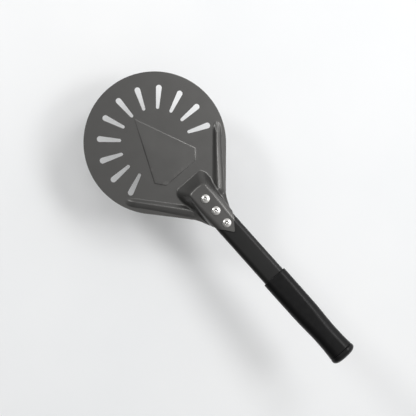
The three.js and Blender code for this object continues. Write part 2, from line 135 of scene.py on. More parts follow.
BLADE_WELD, SKIN_WELD, TURNED_WELD = 0.02, 0.01, 0.005  # points closer than this become one


# ---- mesh helpers --------------------------------------------------------------------------
def new_object(name, verts, faces):
    mesh = bpy.data.meshes.new(name)
    mesh.from_pydata([Vector(v) * MM for v in verts], [], faces)
    mesh.update()
    mesh.polygons.foreach_set("use_smooth", [True] * len(mesh.polygons))
    piece = bpy.data.objects.new(name, mesh)
    bpy.context.scene.collection.objects.link(piece)
    return piece


def settle(piece):
    """Apply the piece's modifiers, so that its mesh is the final one."""
    graph = bpy.context.evaluated_depsgraph_get()
    mesh = bpy.data.meshes.new_from_object(piece.evaluated_get(graph))
    piece.modifiers.clear()
    piece.data = mesh


def round_edges(piece, width):
    bevel = piece.modifiers.new("round", "BEVEL")
    bevel.width = width * MM
    bevel.segments = 2
    bevel.limit_method = "ANGLE"
    bevel.angle_limit = math.radians(50)
    bevel.use_clamp_overlap = True
    settle(piece)


def flat_normals(piece):
    """Let the large flat faces keep their own normals beside rounded edges."""
    piece.modifiers.new("normals", "WEIGHTED_NORMAL").weight = 60
    settle(piece)


def smooth_through(knots, values, x):
    """Monotone cubic through (knots, values); knots rise."""
    knots, values = np.asarray(knots, float), np.asarray(values, float)
    step, rise = np.diff(knots), np.diff(values)
    secant = rise / step
    slope = np.zeros(len(knots))
    for i in range(1, len(knots) - 1):
        if secant[i - 1] * secant[i] > 0:
            slope[i] = 2 / (1 / secant[i - 1] + 1 / secant[i])
    slope[0], slope[-1] = secant[0], secant[-1]
    x = np.clip(np.asarray(x, float), knots[0], knots[-1])
    i = np.clip(np.searchsorted(knots, x, side="right") - 1, 0, len(step) - 1)
    t = (x - knots[i]) / step[i]
    a, b = values[i], values[i + 1]
    m, n = slope[i] * step[i], slope[i + 1] * step[i]
    return a + t * m + t**2 * (3 * (b - a) - 2 * m - n) + t**3 * (2 * (a - b) + m + n)


def ease(x):
    """Smooth step from 0 at x = 0 to 1 at x = 1."""
    x = np.clip(x, 0, 1)
    return x * x * (3 - 2 * x)


def hermite(x, a, b, slope_a, slope_b):
    """Cubic from a at x = 0 to b at x = 1 with those end slopes."""
    x = np.clip(x, 0, 1)
    rest = 1 - x
    near = (1 + 2 * x) * rest**2 * a + x * rest**2 * slope_a
    return near + x**2 * (3 - 2 * x) * b - x**2 * rest * slope_b


def sides(corners):
    """Start and end of every side of a closed outline."""
    return list(zip(corners, corners[1:] + corners[:1]))


def from_handle(p):
    """From the handle's frame (origin at the tube's lower front edge) to the blade's."""
    x, y, z = p
    c, s = math.cos(RISE), math.sin(RISE)
    return (MOUTH.x + x * c - z * s, y, MOUTH.z + x * s + z * c)


def handle_position(x):
    """Distance along the handle of the point on the tube's top face that lies over x."""
    return (x - MOUTH.x) / math.cos(RISE) + TUBE_H * math.tan(RISE)


# ---- the blade's shape ---------------------------------------------------------------------
def beside_edge(t, inset):
    """Point t along the straight edge towards the neck, inside it by inset."""
    c, s = math.cos(TANGENT), math.sin(TANGENT)
    return (BLADE_R - inset) * c + t * s, (BLADE_R - inset) * s - t * c


def along_edge(x, y):
    """The other way: (t, inset) of a point, whichever side it is on."""
    c, s = math.cos(TANGENT), math.sin(TANGENT)
    y = np.abs(y)
    return x * s - y * c, BLADE_R - x * c - y * s


def panel_height(x, y):
    """The raised panel. Its step is full on three sides and low on two, where the panel dips."""
    share = np.ones(np.shape(x))
    for side, ((ax, ay), (bx, by)) in enumerate(sides(PANEL)):
        length = math.hypot(bx - ax, by - ay)
        along = ((bx - ax) * (x - ax) + (by - ay) * (y - ay)) / length**2
        inward = ((bx - ax) * (y - ay) - (by - ay) * (x - ax)) / length
        step = 1
        if side == SHORT_SIDE:
            step = LOW_STEP
        elif side == LONG_SIDE:
            step = LOW_STEP + (LOWEST_STEP - LOW_STEP) * ease(along / LOWEST_AT)
        rise = step * ease(inward / PANEL_STEP + 0.5) + (1 - step) * ease(inward / PANEL_DIP)
        share = np.minimum(share, rise)
    return PANEL_RISE * share


def rib_line(name, t):
    """Inset of one of the rib's lines at t along the edge."""
    return smooth_through(RIB_KNOTS, RIB_LINES[name], t)


def rib_height(x, y):
    """The two stiffening ribs: a steep outer flank, a rounded crest and a gentle inner side."""
    t, inset = along_edge(x, y)
    foot, shoulder, crest, inner = (rib_line(name, t) for name in RIB_LINES)
    band = FOOT_SHARE * ease(inset / foot)
    up_flank, up_top = (inset - foot) / (shoulder - foot), (inset - shoulder) / (crest - shoulder)
    flank_share, top_share = SHOULDER_SHARE - FOOT_SHARE, 1 - SHOULDER_SHARE
    flank = FOOT_SHARE + flank_share * hermite(up_flank, 0, 1, FLANK_START, FLANK_END)
    same_slope = flank_share / top_share * FLANK_END * (crest - shoulder) / (shoulder - foot)
    top = SHOULDER_SHARE + top_share * hermite(up_top, 0, 1, same_slope, 0)
    fall = 1 - ease((inset - crest) / (inner - crest))
    shape = np.where(inset < crest, top, fall)
    shape = np.where(inset < foot, band, np.where(inset < shoulder, flank, shape))
    ends = ease((t - RIB_START) / RIB_LEAD_IN) * ease((RIB_END - t) / RIB_RUN_OUT)
    return RIB_HEIGHT * ends * shape * (inset > 0)


def plate_height(x, y):
    """Height of the plate's top face, which turns up towards the neck."""
    x, y = np.asarray(x, float), np.asarray(y, float)
    past = x - BEND_X
    bend = BEND_SLOPE * (past + np.sqrt(past**2 + BEND_SOFT**2)) / 2
    far = BEND_SLOPE * BEND_SOFT**2 / 4 / np.maximum(-past, BEND_SOFT)
    bend = np.where(past < -BEND_SOFT, bend - far, bend - BEND_SLOPE * BEND_SOFT / 4)
    return FLAT_Z + panel_height(x, y) + rib_height(x, y) + np.maximum(bend, 0)


def top_plane(x):
    """Height of the hood's flat top over x."""
    return MOUTH.z + (x - MOUTH.x) * math.tan(RISE) + (TUBE_H + SEAT + SHEET) / math.cos(RISE)


def hood_foot_half(x):
    """Half width of the hood at its foot."""
    return smooth_through(
        [FOOT_CORNER_X, 76.6, 82, 89, 96.7, 104, 110, 116, 121, FOOT_REAR_X, 136],
        [24.6, 24.7, 23.7, 22.0, 21.0, 20.1, 19.1, 17.8, 16.7, 16.35, 16.3],
        x,
    )


def hood_top_half(x):
    """Half width of the hood's flat top."""
    return smooth_through([72, 84, 100, 112, 121, 136], [10.4, 10.2, 9.5, 8.9, 8.2, 8.0], x)


def hood_top_radius(x):
    """Radius between the flat top and the side, wide enough to clear the tube's corner."""
    return smooth_through([72, 84, 100, 110, 116, 121, 136], [4.6, 4.9, 6.5, 7.3, 7.8, 8.15, 8.25], x)


def front_corner(front_x, flat, corner_x, corner_y, turn):
    """Point of the quarter ellipse between a straight front edge and a side, at that turn from the side."""
    return corner_x - (corner_x - front_x) * math.sin(turn), flat + (corner_y - flat) * math.cos(turn)


def hood_stations():
    """Matching points of the hood's foot and of its top edge, from the rear right round the front."""
    rear = np.linspace(FOOT_REAR_X, FLANGE_END_X, REAR_STEPS, endpoint=False)
    side = np.linspace(FLANGE_END_X, FOOT_CORNER_X, SIDE_STEPS, endpoint=False)
    foot_x = np.concatenate([rear, side])
    share = (FOOT_REAR_X - foot_x) / (FOOT_REAR_X - FOOT_CORNER_X)
    top_x = TOP_REAR_X + (TOP_CORNER_X - TOP_REAR_X) * share
    foot = [(x, y) for x, y in zip(foot_x, hood_foot_half(foot_x))]
    top = [(x, float(hood_top_half(x))) for x in top_x]
    top_corner_y = float(hood_top_half(TOP_CORNER_X))
    foot_corner_y = hood_foot_half(FOOT_CORNER_X)
    for turn in np.linspace(0, math.pi / 2, CORNER_STEPS, endpoint=False):
        foot.append(front_corner(HOOD_FRONT, FOOT_FLAT, FOOT_CORNER_X, foot_corner_y, turn))
        top.append(front_corner(HOOD_TOP_FRONT, TOP_FLAT, TOP_CORNER_X, top_corner_y, turn))
    for share in np.linspace(1, 0, FRONT_STEPS, endpoint=False):
        foot.append((HOOD_FRONT, FOOT_FLAT * share))
        top.append((HOOD_TOP_FRONT, TOP_FLAT * share))
    foot = np.array(foot + [(HOOD_FRONT, 0.0)])
    top = np.array(top + [(HOOD_TOP_FRONT, 0.0)])
    mirror = np.array([1, -1])
    return np.vstack([foot, foot[-2::-1] * mirror]), np.vstack([top, top[-2::-1] * mirror])


def wall_profile(reach, drop, top_r, foot_r):
    """A pressed wall's section: rounded top, straight slope, rounded foot. Two rows from 0 to 1."""
    both = top_r + foot_r
    lean = math.asin(min(1, both / math.hypot(reach, drop - both))) + math.atan2(drop - both, reach)
    lean = min(lean, STEEPEST)
    straight = max(0, (drop - both * (1 - math.cos(lean))) / math.sin(lean))
    points = [(top_r * math.sin(a), top_r * (1 - math.cos(a))) for a in np.linspace(0, lean, TOP_ARC)]
    x, y = points[-1]
    for part in np.linspace(0, 1, SLOPE_STEPS)[1:]:
        points.append((x + straight * part * math.cos(lean), y + straight * part * math.sin(lean)))
    x, y = points[-1]
    for a in np.linspace(lean, 0, FOOT_ARC)[1:]:
        out, down = math.sin(lean) - math.sin(a), math.cos(a) - math.cos(lean)
        points.append((x + foot_r * out, y + foot_r * down))
    points = np.array(points)
    return points / points[-1]


def wall_section(x):
    """The side wall cut across at x, as rows of half width and height from the top edge to the foot."""
    half, foot_half = float(hood_top_half(x)), float(hood_foot_half(x))
    drop = top_plane(x) - float(plate_height(x, foot_half))
    foot_r = FOOT_R - (FOOT_R - REAR_FOOT_R) * float(ease((x - FOOT_R_FROM) / FOOT_R_OVER))
    rows = wall_profile(foot_half - half, drop, float(hood_top_radius(x)), foot_r)
    return np.column_stack([half + (foot_half - half) * rows[:, 0], top_plane(x) - drop * rows[:, 1]])


def radial_column(foot_point, top_point):
    """The wall from a point of the top edge straight down to its point of the foot."""
    (fx, fy), (tx, ty) = foot_point, top_point
    foot_z = float(plate_height(fx, fy))
    rows = wall_profile(math.hypot(fx - tx, fy - ty), top_plane(tx) - foot_z, FRONT_TOP_R, FOOT_R)
    x, y = tx + (fx - tx) * rows[:, 0], ty + (fy - ty) * rows[:, 0]
    return np.column_stack([x, y, top_plane(x) * (1 - rows[:, 1]) + foot_z * rows[:, 1]])


def side_column(foot_point, top_point):
    """The same on the hood's side, following the rake of its rear edge."""
    (fx, fy), (tx, _) = foot_point, top_point
    rows = wall_section(fx)
    lengths = np.concatenate([[0], np.cumsum(np.abs(np.diff(rows, axis=0)).sum(axis=1))])
    xs = fx + (tx - fx) * smooth_through(*RAKE, lengths / lengths[-1])
    column = [(x, *wall_section(x)[j]) for j, x in enumerate(xs)]
    return np.array(column) * np.array([1, math.copysign(1, fy), 1])


def hood_walls(foot, top):
    """The sloping walls as a grid of rows from the top edge to the foot."""
    columns = []
    for foot_point, top_point in zip(foot, top):
        beside = float(ease((foot_point[0] - FOOT_CORNER_X) / SIDE_BLEND))
        column = radial_column(foot_point, top_point)
        if beside > 0:
            column = column * (1 - beside) + side_column(foot_point, top_point) * beside
        columns.append(column)
    verts = [tuple(p) for column in columns for p in column]
    rows = len(columns[0])
    faces = []
    for i in range(len(columns) - 1):
        for j in range(rows - 1):
            a, b = i * rows + j, (i + 1) * rows + j
            faces.append((a, b, b + 1, a + 1))
    return verts, faces


def inside_polygon(points, loop):
    """Whether each point lies inside the loop."""
    x, y = points[:, 0], points[:, 1]
    inside = np.zeros(len(points), bool)
    for (ax, ay), (bx, by) in zip(loop, np.roll(loop, -1, axis=0)):
        crosses = (ay > y) != (by > y)
        with np.errstate(divide="ignore", invalid="ignore"):
            cut = (bx - ax) * (y - ay) / (by - ay) + ax
        inside ^= crosses & (x < cut)
    return inside


def filled(outer, holes, extra, height, margin=0.35):
    """Triangulate the outline less its holes, with extra points inside, and lift it to height(x, y)."""
    loops = [np.asarray(outer)] + [np.asarray(h) for h in holes]
    boundary = np.vstack(loops)
    tree = kdtree.KDTree(len(boundary))
    for i, (x, y) in enumerate(boundary):
        tree.insert((x, y, 0), i)
    tree.balance()
    extra = np.asarray(extra)
    keep = inside_polygon(extra, loops[0])
    for hole in loops[1:]:
        keep &= ~inside_polygon(extra, hole)
    extra = np.array([p for p in extra[keep] if tree.find((p[0], p[1], 0))[2] > margin])
    edges, start = [], 0
    for loop in loops:
        count = len(loop)
        edges += [(start + i, start + (i + 1) % count) for i in range(count)]
        start += count
    points = np.vstack([boundary, extra])
    result = geometry.delaunay_2d_cdt([Vector(p) for p in points], edges, [], 0, 1e-4)
    flat, triangles = np.array([tuple(v) for v in result[0]]), np.array(result[2])
    middle = flat[triangles].mean(axis=1)
    inside = inside_polygon(middle, loops[0])
    for hole in loops[1:]:
        inside &= ~inside_polygon(middle, hole)
    triangles = triangles[inside]
    a, b, c = (flat[triangles[:, k]] for k in range(3))
    area = (b[:, 0] - a[:, 0]) * (c[:, 1] - a[:, 1]) - (b[:, 1] - a[:, 1]) * (c[:, 0] - a[:, 0])
    triangles[area < 0] = triangles[area < 0][:, ::-1]
    z = height(flat[:, 0], flat[:, 1])
    return np.column_stack([flat, z]), triangles


def bezier(start, control, end, count):
    t = np.linspace(0, 1, count)[:, None]
    start, control, end = map(np.array, (start, control, end))
    return (1 - t) ** 2 * start + 2 * t * (1 - t) * control + t**2 * end


def slot_loop(angle):
    """A teardrop along the radius at that angle: two round ends and their common tangents."""
    inner, outer = SLOT_IN + SLOT_IN_R, SLOT_OUT - SLOT_OUT_R
    turn = math.pi - math.acos((SLOT_OUT_R - SLOT_IN_R) / (outer - inner))
    wide = angle + np.linspace(-turn, turn, WIDE_ARC)
    narrow = angle + np.linspace(turn, 2 * math.pi - turn, NARROW_ARC)
    ends = [(outer, SLOT_OUT_R, wide), (inner, SLOT_IN_R, narrow)]
    points = [
        (at * math.cos(angle) + r * math.cos(a), at * math.sin(angle) + r * math.sin(a))
        for at, r, turns in ends
        for a in turns
    ]
    wide_end, narrow_start = np.array(points[WIDE_ARC - 1]), np.array(points[WIDE_ARC])
    narrow_end, wide_start = np.array(points[-1]), np.array(points[0])
    shares = np.linspace(0, 1, SLOT_SIDE)[1:-1]
    out = [tuple(wide_end + (narrow_start - wide_end) * s) for s in shares]
    back = [tuple(narrow_end + (wide_start - narrow_end) * s) for s in shares]
    return np.array(points[:WIDE_ARC] + out + points[WIDE_ARC:] + back)


def blade_outer(foot):
    """The plate's outline: neck, straight edge and disc on one side, their mirror, then the hood's foot."""
    edge_end = beside_edge(EDGE_LENGTH, 0)
    straight = np.array([beside_edge(t, 0) for t in np.linspace(EDGE_LENGTH, 0, STRAIGHT_STEPS)])
    tip = (FLANGE_END_X, float(hood_foot_half(FLANGE_END_X)))
    start = (tip[0] + FLANGE_BLUNT[0], tip[1] + FLANGE_BLUNT[1])
    lead = (edge_end[0] + NECK_LEAD, edge_end[1] - NECK_LEAD / math.tan(TANGENT))
    neck = bezier(start, lead, edge_end, NECK_STEPS)
    turns = np.linspace(TANGENT, math.pi, DISC_STEPS)
    disc = np.column_stack([BLADE_R * np.cos(turns), BLADE_R * np.sin(turns)])
    right = np.vstack([[tip], neck[:-1], straight[:-1], disc])
    left = right[-2::-1] * np.array([1, -1])
    inner = foot[foot[:, 0] < FLANGE_END_X - 1e-6]
    return np.vstack([right, left, inner[::-1]])


def panel_points():
    """Close rows along the panel's step."""
    points = []
    for offset in PANEL_ROWS:
        for (ax, ay), (bx, by) in sides(offset_polygon(PANEL, offset)):
            count = int(math.hypot(bx - ax, by - ay) / PANEL_SPACING)
            points += [(ax + (bx - ax) * i / count, ay + (by - ay) * i / count) for i in range(count)]
    return points


def rib_points():
    """Close rows along both ribs."""
    points = []
    for t in np.arange(RIB_START - 1, RIB_END + 1, RIB_SPACING):
        lines = [float(rib_line(name, t)) for name in RIB_LINES]
        bands = zip(lines, lines[1:] + [lines[-1] + RIB_PAST], RIB_ROWS)
        rows = [np.linspace(a, b, n, endpoint=False) for a, b, n in bands]
        outer = [lines[0] - gap for gap in RIB_OUTER_ROWS]
        for inset in np.concatenate([outer, *rows]):
            x, y = beside_edge(t, inset)
            points += [(x, y), (x, -y)]
    return points


def bend_points():
    """A close grid on both sides of the hood, where the plate turns up."""
    points = []
    for x in np.arange(BEND_X - BEND_BEFORE, FLANGE_END_X, BEND_SPACING[0]):
        for y in np.arange(BEND_IN, BEND_OUT, BEND_SPACING[1]):
            points += [(x, y), (x, -y)]
    return points


def plate_points(outlines):
    """Points inside the plate: close rows where its shape needs them, a wide grid elsewhere."""
    points = [tuple(p) for loop in outlines for row in EDGE_ROWS for p in beside_loop(loop, row)]
    points += panel_points() + rib_points() + bend_points()
    close = kdtree.KDTree(len(points))
    for i, (x, y) in enumerate(points):
        close.insert((x, y, 0), i)
    close.balance()
    for row, y in enumerate(np.arange(*GRID_Y, GRID * GRID_ROW)):
        for x in np.arange(GRID_X[0] + (row % 2) * GRID / 2, GRID_X[1], GRID):
            if close.find((x, y, 0))[2] > GRID * GRID_CLEAR:
                points.append((x, y))
    return points


def beside_loop(loop, distance):
    """Points at that distance from a cut edge, on the metal's side of it."""
    ahead, behind = np.roll(loop, -1, axis=0), np.roll(loop, 1, axis=0)
    along = ahead - behind
    normal = np.column_stack([-along[:, 1], along[:, 0]]) / np.linalg.norm(along, axis=1)[:, None]
    area = np.sum(loop[:, 0] * ahead[:, 1] - ahead[:, 0] * loop[:, 1])
    is_hole = np.abs(area) < BLADE_R**2
    outward = -1 if (area > 0) == is_hole else 1
    return loop + normal * outward * distance


def offset_polygon(corners, offset):
    """The corners moved in by offset, keeping every side parallel."""
    out = []
    count = len(corners)
    for i in range(count):
        before, here, after = (np.array(corners[(i + k) % count], float) for k in (-1, 0, 1))
        d1, d2 = here - before, after - here
        d1, d2 = d1 / np.linalg.norm(d1), d2 / np.linalg.norm(d2)
        n1, n2 = np.array([-d1[1], d1[0]]), np.array([-d2[1], d2[0]])
        bisector = (n1 + n2) / (1 + n1 @ n2)
        out.append(tuple(here + bisector * offset))
    return out


def tongue_outline(top):
    """The flat top's outline: the hood's top edge and the pointed tongue behind it."""
    half, tip = top[0][1], TONGUE_TIP_X
    lean = math.atan2(half, tip - top[0][0])
    centre = tip - TONGUE_TIP_R
    turns = np.linspace(-(math.pi / 2 - lean), math.pi / 2 - lean, NOSE_ARC)
    nose = [(centre + TONGUE_TIP_R * math.cos(a), TONGUE_TIP_R * math.sin(a)) for a in turns]
    first, last = np.array(nose[-1]), top[0]
    right = [tuple(first + (last - first) * s) for s in np.linspace(0, 1, TONGUE_SIDE)[1:-1]]
    left = [(x, -y) for x, y in right[::-1]]
    return np.array([tuple(p) for p in top] + left + nose + right)


def make_blade():
    """The pressed sheet: plate, hood walls and flat top in one, thickened downwards."""
    foot, top = hood_stations()
    walls = hood_walls(foot, top)
    slots = [slot_loop(math.pi + (i - (SLOT_COUNT - 1) / 2) * SLOT_STEP) for i in range(SLOT_COUNT)]
    edge = blade_outer(foot)
    plate = filled(edge, slots, plate_points([edge] + slots), plate_height)
    outline = tongue_outline(top)
    crown = [(x, y, top_plane(x)) for x, y in outline], [range(len(outline))]
    verts, faces = [], []
    for part_verts, part_faces in (walls, plate, crown):
        base = len(verts)
        verts += [tuple(v) for v in part_verts]
        faces += [tuple(int(i) + base for i in f) for f in part_faces]
    piece = new_object("blade_sheet", verts, faces)
    bm = bmesh.new()
    bm.from_mesh(piece.data)
    bmesh.ops.remove_doubles(bm, verts=bm.verts, dist=BLADE_WELD * MM)
    for face in bm.faces:
        face.normal_update()
        if face.normal.z < 0:
            face.normal_flip()
    widest = max(bm.faces, key=lambda face: len(face.verts))
    bmesh.ops.inset_region(bm, faces=[widest], thickness=CROWN_EDGE * MM, use_even_offset=True)
    bm.to_mesh(piece.data)
    bm.free()
    sheet = piece.modifiers.new("sheet", "SOLIDIFY")
    sheet.thickness = SHEET * MM
    sheet.offset = -1
    sheet.use_even_offset = False
    sheet.use_quality_normals = True
    sheet.thickness_clamp = 0
    settle(piece)
    round_edges(piece, EDGE_ROUND)
    flat_normals(piece)
    return piece


# ---- handle --------------------------------------------------------------------------------
TUBE_CHAMFER = 0.25
TURNED_CORNER, MOULDED_CORNER = math.radians(38), math.radians(50)  # sharper bends shade as corners


def round_section(half_width, half_height, radius):
    """A rounded rectangle in (y, z) about its middle."""
    points = []
    for quarter in range(4):
        sy, sz = (1, 1, -1, -1)[quarter], (-1, 1, 1, -1)[quarter]
        centre_y, centre_z = sy * (half_width - radius), sz * (half_height - radius)
        for a in np.linspace(-math.pi / 2, 0, SECTION_ARC) + quarter * math.pi / 2:
            points.append((centre_y + radius * math.cos(a), centre_z + radius * math.sin(a)))
    return points


def loft(name, rings, close_start=True, close_end=True):
    """Skin the rings, which are lists of points in the handle's frame with equal counts."""
    count = len(rings[0])
    verts = [from_handle(p) for ring in rings for p in ring]
    faces = []
    for i in range(len(rings) - 1):
        for j in range(count):
            k = (j + 1) % count
            faces.append((i * count + j, i * count + k, (i + 1) * count + k, (i + 1) * count + j))
    if close_start:
        faces.append(tuple(range(count))[::-1])
    if close_end:
        faces.append(tuple((len(rings) - 1) * count + j for j in range(count)))
    return new_object(name, verts, faces)


def section_ring(x, half_width, half_height, radius):
    """The section stood up at x along the handle."""
    section = round_section(half_width, half_height, radius)
    return [(x, y, TUBE_H / 2 + z) for y, z in section]


def smaller(section, by):
    """A section's half width, half height and corner radius, all less by that much."""
    return tuple(size - by for size in section)


def make_tube():
    """The hollow tube: outer skin, chamfered ends and bore."""
    outer = (TUBE_W / 2, TUBE_H / 2, TUBE_R)
    inner, chamfered = smaller(outer, TUBE_WALL), smaller(outer, TUBE_CHAMFER)
    stations = np.linspace(TUBE_CHAMFER, TUBE_LENGTH - TUBE_CHAMFER, TUBE_STEPS)
    rings = [section_ring(0, *chamfered)]
    rings += [section_ring(x, *outer) for x in stations]
    rings += [section_ring(TUBE_LENGTH, *chamfered), section_ring(TUBE_LENGTH, *inner)]
    rings.append(section_ring(0, *inner))
    piece = loft("tube_skin", rings + [rings[0]], False, False)
    weld(piece, SKIN_WELD)
    return piece


def weld(piece, distance):
    """Join points that coincide, turn every face outwards and mark the corners."""
    bm = bmesh.new()
    bm.from_mesh(piece.data)
    bmesh.ops.remove_doubles(bm, verts=bm.verts, dist=distance * MM)
    bmesh.ops.recalc_face_normals(bm, faces=bm.faces)
    bm.to_mesh(piece.data)
    bm.free()
    sharpen(piece, TURNED_CORNER)


def sharpen(piece, corner):
    """Mark the edges that bend by more than the corner angle, so that they shade as corners."""
    bm = bmesh.new()
    bm.from_mesh(piece.data)
    for edge in bm.edges:
        edge.smooth = len(edge.link_faces) == 2 and edge.calc_face_angle(0) < corner
    bm.to_mesh(piece.data)
    bm.free()
    piece.data.polygons.foreach_set("use_smooth", [True] * len(piece.data.polygons))


GRIP_START = 143.4
GRIP_X = [0, 30, 58, 76, 92, 105, 116, 122.5]
GRIP_HALF_W = [16.4, 16.3, 16.1, 15.4, 14.8, 14.9, 15.5, 16.0]
GRIP_HALF_H = [9.6, 9.9, 10.6, 11.1, 11.2, 11.3, 11.9, 12.4]
GRIP_CORNER = 0.92  # corner radius as a share of the half height
GRIP_LIP = 0.9  # radius of the rolled front edge
GRIP_BORE_DEPTH = 1.2  # how far the bore is modelled
GRIP_END = [(0.15, 0.15), (0, 0.6)]  # rounding of the rear edge: distance before the end, inset
CAP_AT = [0.3, 0.9, 2.4, 4.6, 6.4, 7.9, 8.8, 9.2]  # behind the sleeve
CAP_HALF_W = [15.4, 16.2, 16.5, 16.2, 14.9, 12.4, 9.0, 5.0]
CAP_HALF_H = [11.8, 12.6, 12.9, 12.6, 11.4, 9.2, 6.4, 3.4]


def grip_ring(x, half_width, half_height):
    """The grip's section at x behind its front edge."""
    return section_ring(GRIP_START + x, half_width, half_height, GRIP_CORNER * half_height)


def make_grip():
    """The soft sleeve, with a rolled front edge over the tube."""
    length = GRIP_X[-1]
    bore = smaller((TUBE_W / 2, TUBE_H / 2, TUBE_R), -SEAT)
    rings = [section_ring(GRIP_START + GRIP_BORE_DEPTH, *bore), section_ring(GRIP_START, *bore)]
    for a in np.linspace(0, math.pi / 2, LIP_ARC):
        inset = GRIP_LIP * (1 - math.sin(a))
        rings.append(grip_ring(GRIP_LIP * (1 - math.cos(a)), GRIP_HALF_W[0] - inset, GRIP_HALF_H[0] - inset))
    for x in np.linspace(GRIP_LIP, length - GRIP_END[-1][1], SLEEVE_STEPS)[1:]:
        half_width = float(smooth_through(GRIP_X, GRIP_HALF_W, x))
        half_height = float(smooth_through(GRIP_X, GRIP_HALF_H, x))
        rings.append(grip_ring(x, half_width, half_height))
    for before, inset in GRIP_END:
        rings.append(grip_ring(length - before, GRIP_HALF_W[-1] - inset, GRIP_HALF_H[-1] - inset))
    piece = loft("grip_skin", rings, False, True)
    sharpen(piece, MOULDED_CORNER)
    return piece


def make_cap():
    """The domed end, a hair behind the sleeve."""
    at = np.linspace(0, 1, CAP_STEPS)
    spread = np.linspace(0, 1, len(CAP_AT))
    xs, widths, heights = (smooth_through(spread, row, at) for row in (CAP_AT, CAP_HALF_W, CAP_HALF_H))
    rings = [grip_ring(GRIP_X[-1] + x, w, h) for x, w, h in zip(xs, widths, heights)]
    piece = loft("end_cap_skin", rings)
    sharpen(piece, MOULDED_CORNER)
    return piece


# ---- rivets --------------------------------------------------------------------------------
RIVET_X = [92.6, 112.1, 131.9]
RIVET_SEAT = TUBE_H + SEAT + SHEET + SEAT
HEAD_R, HEAD_H, HEAD_RIM = 5.75, 2.5, 0.3
RECESS_R, STEM_R = 2.3, 1.5
BODY_R, BULGE_R, BULGE_H, BULGE_ROUND = 3.0, 4.2, 3.2, 0.9
HEAD_CHAMFER, RIM_ROUND = 0.15, 0.25
RECESS_FLOOR = 0.6, 0.4  # height of the recess at its wall and at the stem
BORE = STEM_R + SEAT
BLIND = TUBE_H - TUBE_WALL - SEAT  # top of the bulge inside the tube
STEM_END = RIVET_SEAT + HEAD_H - 0.7  # the broken end stands below the rim


def turned(name, profile, x, steps):
    """A lathed piece whose axis stands on the tube's top face over x. Profile: (radius, height)."""
    along = handle_position(x)
    verts, faces = [], []
    for r, z in profile:
        for i in range(steps):
            a = 2 * math.pi * i / steps
            verts.append(from_handle((along + r * math.cos(a), r * math.sin(a), z)))
    for j in range(len(profile) - 1):
        for i in range(steps):
            k = (i + 1) % steps
            faces.append((j * steps + i, j * steps + k, (j + 1) * steps + k, (j + 1) * steps + i))
    piece = new_object(name, verts, faces)
    weld(piece, TURNED_WELD)
    return piece


def make_rivet(index):
    """A set blind rivet: bulge inside the tube, shank, and a domed head with a recess."""
    low = BLIND - BULGE_H
    bulge = BULGE_R - BULGE_ROUND
    profile = [(BORE, low), (bulge, low)]
    for a in np.linspace(-math.pi / 2, math.pi / 2, BULGE_ARC):
        profile.append((bulge + BULGE_ROUND * math.cos(a), (low + BLIND) / 2 + (BULGE_H / 2) * math.sin(a)))
    profile += [(BODY_R, BLIND), (BODY_R, RIVET_SEAT)]
    profile += [(HEAD_R - HEAD_CHAMFER, RIVET_SEAT), (HEAD_R, RIVET_SEAT + HEAD_CHAMFER)]
    for a in np.linspace(0, math.acos(RECESS_R / HEAD_R), DOME_ARC):
        profile.append((HEAD_R * math.cos(a), RIVET_SEAT + HEAD_RIM + (HEAD_H - HEAD_RIM) * math.sin(a)))
    rim_r, rim_z = profile[-1]
    for a in np.linspace(0, math.pi / 2, RIM_ARC)[1:]:
        profile.append((rim_r - RIM_ROUND * math.sin(a), rim_z - RIM_ROUND * (1 - math.cos(a))))
    at_wall, at_stem = (RIVET_SEAT + height for height in RECESS_FLOOR)
    profile += [(BORE + 0.1, at_wall), (BORE, at_stem), (BORE, low)]
    return turned(f"rivet_{index + 1}_body", profile, RIVET_X[index], HEAD_TURN)


def make_mandrel(index):
    """The broken stem in the recess, with its head below the bulge and its torn, slightly necked end."""
    low = BLIND - BULGE_H - SEAT
    head = [(0.01, -2.2), (1.6, -2.05), (2.3, -1.6), (2.6, -1.0), (2.6, 0), (STEM_R, 0)]
    torn = [(STEM_R, -0.9), (1.32, -0.45), (1.25, -0.15), (0.95, 0), (0.5, -0.22), (0.01, -0.3)]
    profile = [(r, low + z) for r, z in head] + [(r, STEM_END + z) for r, z in torn]
    return turned(f"rivet_{index + 1}_stem", profile, RIVET_X[index], STEM_TURN)


